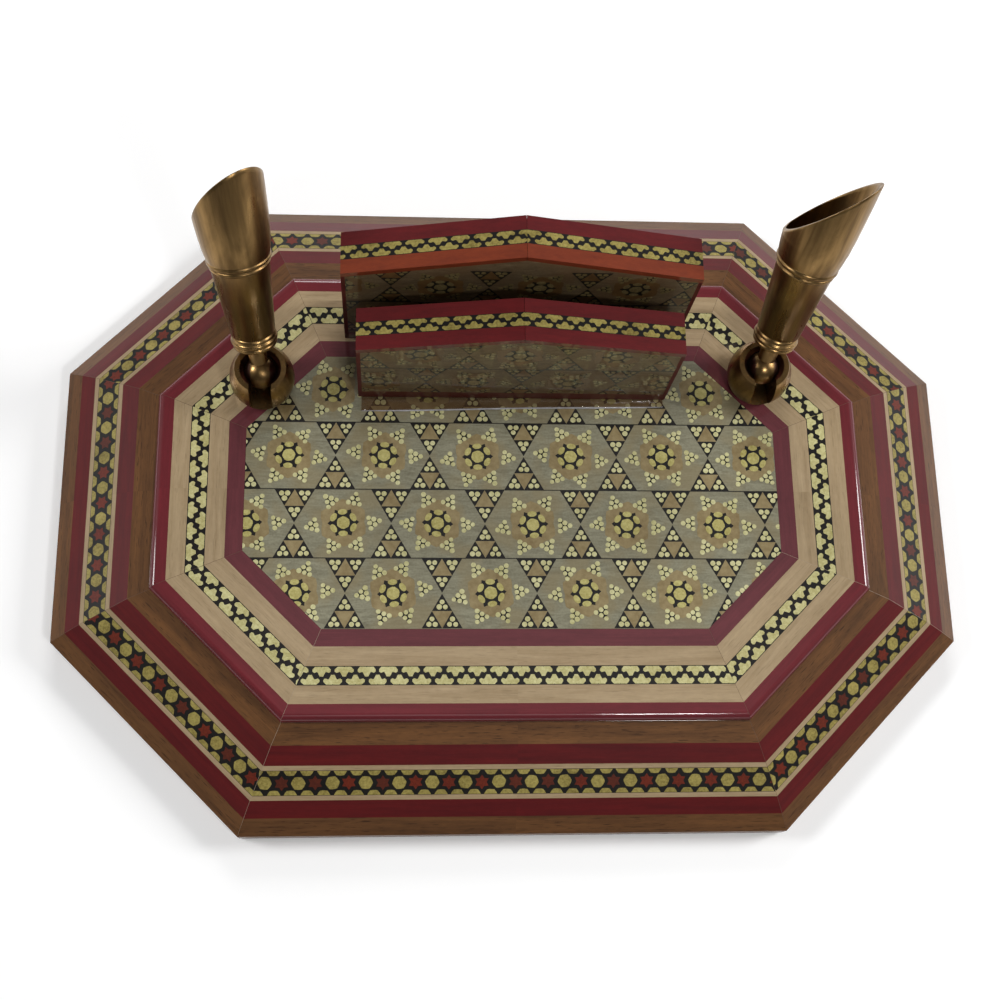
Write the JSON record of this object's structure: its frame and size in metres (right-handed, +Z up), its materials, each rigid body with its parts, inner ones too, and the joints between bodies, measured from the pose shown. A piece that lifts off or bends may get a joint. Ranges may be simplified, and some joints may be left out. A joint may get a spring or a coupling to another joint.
{
  "type": "inlaid desk stand",
  "caption": "Low stepped octagonal desk stand with inlaid bands, a two-panel card rack at the back and a slanted pen trumpet on a swivel cup at each side.",
  "frame": {"origin": "centre of the underside, on the table", "axes": "+X to the object's right as its user sees it, +Y towards the back, where the rack stands, +Z up"},
  "size_m": [0.28, 0.203, 0.1016],
  "materials": {
    "felt": "woven felt",
    "core_wood": "raw plywood",
    "walnut": "glossy clear lacquer over walnut",
    "crimson_veneer": "glossy clear lacquer over dyed veneer",
    "dark_red_edging": "glossy lacquer",
    "amber_edging": "glossy lacquer",
    "pale_wood": "glossy clear lacquer over pale wood",
    "star_inlay": "lacquered micro-mosaic of wood, bone and brass",
    "tooth_inlay": "lacquered micro-mosaic of wood, bone and brass",
    "rosette_inlay": "lacquered micro-mosaic of wood, bone and brass",
    "steel_fixings": "zinc plated",
    "pen_liner_black": "moulded",
    "antique_brass": "polished, antique tone"
  },
  "bodies": {
    "root": {"felt_pad": "felt", "base_board": "core_wood", "walnut_rim": "walnut", "slope_core": "core_wood", "outer_red_band": "crimson_veneer", "outer_pale_line": "pale_wood", "star_strip": "star_inlay", "inner_pale_line": "pale_wood", "inner_red_band": "crimson_veneer", "walnut_band": "walnut", "centre_board": "core_wood", "raised_red_edge": "crimson_veneer", "outer_pale_band": "pale_wood", "tooth_strip": "tooth_inlay", "inner_pale_band": "pale_wood", "red_border": "crimson_veneer", "centre_panel_rows": "rosette_inlay", "front_panel_board": "core_wood", "front_panel_face": "rosette_inlay", "front_panel_rear_face": "rosette_inlay", "front_foot_strip": "dark_red_edging", "front_top_red_near": "crimson_veneer", "front_top_strip": "tooth_inlay", "front_top_red_far": "crimson_veneer", "front_panel_ends": "dark_red_edging", "back_panel_board": "core_wood", "back_panel_face": "rosette_inlay", "back_panel_rear_face": "rosette_inlay", "back_foot_strip": "dark_red_edging", "back_top_amber_near": "amber_edging", "back_top_strip": "tooth_inlay", "back_top_red_far": "crimson_veneer", "back_panel_ends": "dark_red_edging", "rack_screws": "steel_fixings"},
    "left_cup": {"left_cup": "antique_brass", "left_cup_bolt": "steel_fixings", "left_cup_washer": "steel_fixings", "left_cup_nut": "steel_fixings"},
    "left_pen": {"left_ball_stud": "antique_brass", "left_ferrule": "antique_brass", "left_trumpet": "antique_brass", "left_pen_liner": "pen_liner_black"},
    "right_cup": {"right_cup": "antique_brass", "right_cup_bolt": "steel_fixings", "right_cup_washer": "steel_fixings", "right_cup_nut": "steel_fixings"},
    "right_pen": {"right_ball_stud": "antique_brass", "right_ferrule": "antique_brass", "right_trumpet": "antique_brass", "right_pen_liner": "pen_liner_black"}
  },
  "joints": [
    {"name": "left_cup_turn", "type": "hinge", "parent": "root", "child": "left_cup", "pos_m": [-0.0768, 0.0334, 0.026], "axis": [0, 0, 1], "range_deg": [-32, 52]},
    {"name": "left_pen_tilt", "type": "hinge", "parent": "left_cup", "child": "left_pen", "pos_m": [-0.0768, 0.0334, 0.037], "axis": [0.9943, 0.0628, 0.0864], "range_deg": [-3, 110]},
    {"name": "right_cup_turn", "type": "hinge", "parent": "root", "child": "right_cup", "pos_m": [0.0768, 0.0366, 0.026], "axis": [0, 0, 1], "range_deg": [-50, 34]},
    {"name": "right_pen_tilt", "type": "hinge", "parent": "right_cup", "child": "right_pen", "pos_m": [0.0768, 0.0366, 0.037], "axis": [0.9872, -0.0892, -0.1323], "range_deg": [-6, 107]}
  ]
}
